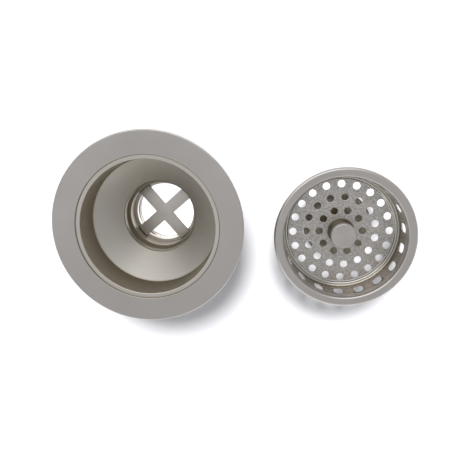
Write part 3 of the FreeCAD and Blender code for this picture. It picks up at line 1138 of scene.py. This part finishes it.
def make_bushing_nut():
    bore_r = BUSHING_THREAD_R + RUNNING_GAP
    corners = [
        (bore_r, PLATE_UNDER - PLATE_NUT_T, 0.15),
        *hex_outside(PLATE_NUT_FLATS, PLATE_UNDER - PLATE_NUT_T, PLATE_UNDER),
        (bore_r, PLATE_UNDER, 0.15),
    ]
    return turned_on_basket("plate_nut", corners, "basket", "bushing_nut", BRASS)


def make_detent_balls():
    low, high = node_box("detent_balls")
    radius = (high.z - low.z) / 2
    offset = (high.y - low.y) / 2 - radius
    bm = bmesh.new()
    for side in (-1, 1):
        place = Matrix.Translation((0, side * offset, BALL_Z))
        bmesh.ops.create_icosphere(bm, subdivisions=4, radius=radius, matrix=place)
    return finish_mesh(
        "catch_balls", bm, BASKET_AXIS, "detent_balls", "detent_balls", [SPRING]
    )


def make_detent_clip():
    return split_ring_piece(
        "catch_clip", CLIP_R, BALL_Z - CLIP_H / 2, BALL_Z + CLIP_H / 2, 0.12, BASKET_AXIS, "basket",
        "detent_clip", [SPRING],
    )


def make_post():
    """The stopper's rod, with a waist for the balls, a groove for its ring and a threaded end."""
    groove_top = STOP_RING_TOP + RUNNING_GAP
    groove_bottom = STOP_RING_TOP - STOP_RING_T - RUNNING_GAP
    corners = [
        (0.0, POST_END),
        (POST_R - 0.3, POST_END, 0.5),
        *thread(POST_END + 0.9, POST_THREAD_TOP, POST_R - FINE_THREAD_DEPTH, POST_R, FINE_PITCH),
        (POST_R, POST_THREAD_TOP + 0.5),
        (POST_R, groove_bottom),
        (STOP_GROOVE_R, groove_bottom),
        (STOP_GROOVE_R, groove_top),
        (POST_R, groove_top),
        (POST_R, WAIST_BOTTOM, 0.2),
        (WAIST_R, WAIST_BOTTOM, 0.1),
        (WAIST_R, WAIST_TOP, 0.1),
        (POST_R, WAIST_TOP, 0.2),
        (POST_R, KNOB_BOTTOM),
        (SPIGOT_R, KNOB_BOTTOM),
        (SPIGOT_R, SPIGOT_TOP, 0.4),
        (0.0, SPIGOT_TOP),
    ]
    return turned_on_basket("rod", corners, "stopper", "post", BRASS)


def make_knob():
    under_head = KNOB_TOP - KNOB_HEAD_T
    foot_r, foot_top = KNOB_NECK_R + 0.7, KNOB_BOTTOM + 1.6
    corners = [
        (SPIGOT_R, KNOB_BOTTOM, 0.1),
        (foot_r, KNOB_BOTTOM, 0.4),
        (foot_r, foot_top, 0.4),
        (KNOB_NECK_R, foot_top + 0.8, 0.8),
        (KNOB_NECK_R, under_head - 0.8, 1.0),
        (KNOB_R, under_head + 0.4, 0.7),
        (KNOB_R, KNOB_TOP, 0.8),
        (0.0, KNOB_TOP),
        (0.0, SPIGOT_TOP),
        (SPIGOT_R, SPIGOT_TOP),
    ]
    return turned_on_basket("pull_knob", corners, "stopper", "knob", KNOB_SATIN)


def make_post_circlip():
    return split_ring_piece(
        "stop_clip", STOP_RING_R, STOP_RING_TOP - STOP_RING_T, STOP_RING_TOP, 0.1, BASKET_AXIS,
        "stop_ring", "post_circlip", [SPRING],
    )


def make_backing_disc():
    corners = ring_outline(POST_R, DISC_R, SEAL_TOP, DISC_TOP, rounding=0.3)
    return turned_piece(
        "stopper_disc", corners, BASKET_AXIS, "stopper", "backing_disc",
        [DISC_PAINTED_SHADE],
    )


def make_stopper_seal():
    """The rubber stopper: a thick disc whose edge narrows downwards."""
    corners = [
        (POST_R, STOPPER_WASHER_TOP),
        (SEAL_R - SEAL_TAPER, STOPPER_WASHER_TOP, 0.6),
        (SEAL_R, SEAL_TOP - 0.5 * SEAL_T, 0.5),
        (SEAL_R, SEAL_TOP, 0.6),
        (POST_R, SEAL_TOP),
    ]
    return turned_piece(
        "stopper_rubber_disc", corners, BASKET_AXIS, "stopper", "stopper_seal",
        [STOPPER_RUBBER],
    )


def make_stopper_washer():
    corners = ring_outline(
        POST_R, STOPPER_WASHER_R, STOPPER_NUT_TOP, STOPPER_WASHER_TOP, rounding=0.2
    )
    return turned_on_basket(
        "stopper_ring", corners, "stopper", "stopper_washer", BRASS
    )


def make_stopper_nut():
    bottom = STOPPER_NUT_TOP - STOPPER_NUT_T
    corners = [
        (POST_R, bottom, 0.15),
        *hex_outside(STOPPER_NUT_FLATS, bottom, STOPPER_NUT_TOP),
        (POST_R, STOPPER_NUT_TOP, 0.15),
    ]
    return turned_on_basket("end_nut", corners, "stopper", "stopper_nut", BRASS)


make_post_bushing()
make_bushing_nut()
make_detent_balls()
make_detent_clip()
make_post()
make_knob()
make_post_circlip()
make_backing_disc()
make_stopper_seal()
make_stopper_washer()
make_stopper_nut()


# ---------------------------------------------------------------- floor, light and camera

FLOOR_HALF = 4000
FLOOR_DROP = 0.2
FLOOR_COLOUR = (0.68, 0.675, 0.695, 1)
# Emission painted into the floor under the pieces: a painted glow, not a lamp.
PAINTED_GLOW_COLOUR = (0.98, 0.98, 1.0, 1)
OUTLET_PAINTED_GLOW = 1.0
BASKET_PAINTED_GLOW = 0.5
SKY_COLOUR = (0.97, 0.98, 1.0, 1)
SKY_STRENGTH = 0.61
CAMERA_PLACE = Vector((67.1, 67.6, 298.0))
CAMERA_TURN = (math.radians(-12.04), math.radians(4.32), math.radians(3.80))
CAMERA_LENS = 41.02
CAMERA_FILM_W = 36


def make_floor():
    """A pale floor with a painted glow under the outlet and in a ring round the stopper's foot,
    which lights the floor seen through the holes.
    """
    bm = bmesh.new()
    half = FLOOR_HALF * MM
    corners = [(-half, -half), (half, -half), (half, half), (-half, half)]
    bm.faces.new([bm.verts.new((x, y, 0)) for x, y in corners])
    mesh = bpy.data.meshes.new("floor")
    bm.to_mesh(mesh)
    bm.free()
    floor = bpy.data.objects.new("floor", mesh)
    bpy.context.scene.collection.objects.link(floor)
    floor.location.z = (FLOOR_Z - FLOOR_DROP) * MM
    n = Nodes("floor_white")
    # Painted glow: emission under the outlet and in a ring under the basket.
    from_outlet = n.radius(n.place(STRAINER_AXIS))[0]
    outlet = n.span(from_outlet, OUTLET_PAINTED_GLOW, 0.0, OUTLET_R, OUTLET_R + 1)
    from_basket = n.radius(n.place(BASKET_AXIS))[0]
    rise = n.span(from_basket, 0.0, BASKET_PAINTED_GLOW, SEAL_R - 5, SEAL_R + 5)
    fall = n.span(from_basket, BASKET_PAINTED_GLOW, 0.0, FIRST_RING_R + SEAL_R, RIM_R)
    basket = n.maths("MINIMUM", rise, fall)
    n.shader(
        Specular_IOR_Level=0.1,
        Roughness=0.9,
        Base_Color=FLOOR_COLOUR,
        Emission_Color=PAINTED_GLOW_COLOUR,
        Emission_Strength=n.maths("MAXIMUM", outlet, basket),
    )
    mesh.materials.append(n.material)


def make_world():
    world = bpy.data.worlds.new("studio")
    bpy.context.scene.world = world
    world.use_nodes = True
    background = world.node_tree.nodes["Background"]
    background.inputs["Color"].default_value = SKY_COLOUR
    background.inputs["Strength"].default_value = SKY_STRENGTH


def place_light(name, lamp, place):
    """A light aimed between the two pieces."""
    holder = bpy.data.objects.new(name, lamp)
    bpy.context.scene.collection.objects.link(holder)
    holder.location = place
    aim = Vector(((CUP_EDGE.x - FLANGE_R) / 2 * MM, 0, 0))
    holder.rotation_euler = (aim - holder.location).to_track_quat("-Z", "Y").to_euler()
    return holder


def make_key_light(place, width, energy):
    """Makes the shadows on the floor and the matt pieces, and leaves no glare in the metal."""
    lamp = bpy.data.lights.new("key", "SUN")
    lamp.angle = width
    lamp.energy = energy
    place_light("key", lamp, place).visible_glossy = False


def make_softbox(name, place, width, height, energy):
    """Shows in the metal alone."""
    lamp = bpy.data.lights.new(name, "AREA")
    lamp.shape = "RECTANGLE"
    lamp.size = width
    lamp.size_y = height
    lamp.energy = energy
    place_light(name, lamp, place).visible_diffuse = False


def make_camera():
    """Above the two pieces, looking down on them."""
    camera = bpy.data.cameras.new("camera")
    camera.lens = CAMERA_LENS
    camera.sensor_width = CAMERA_FILM_W
    camera.clip_start = 0.01
    camera.clip_end = 50
    holder = bpy.data.objects.new("camera", camera)
    bpy.context.scene.collection.objects.link(holder)
    x, y, z = (Matrix.Rotation(angle, 4, axis) for angle, axis in zip(CAMERA_TURN, "XYZ"))
    holder.matrix_world = Matrix.Translation(CAMERA_PLACE * MM) @ z @ y @ x
    bpy.context.scene.camera = holder


make_floor()
make_world()
make_key_light(place=(0.01, 0.47, 0.90), width=math.radians(13), energy=4.1)
make_softbox("back_softbox", place=(-0.18, 0.70, 0.90), width=1.2, height=0.8, energy=4.6)
make_softbox("front_softbox", place=(-0.10, -0.85, 0.35), width=2.2, height=0.5, energy=2.4)
make_camera()
bpy.context.scene.view_settings.view_transform = "Standard"
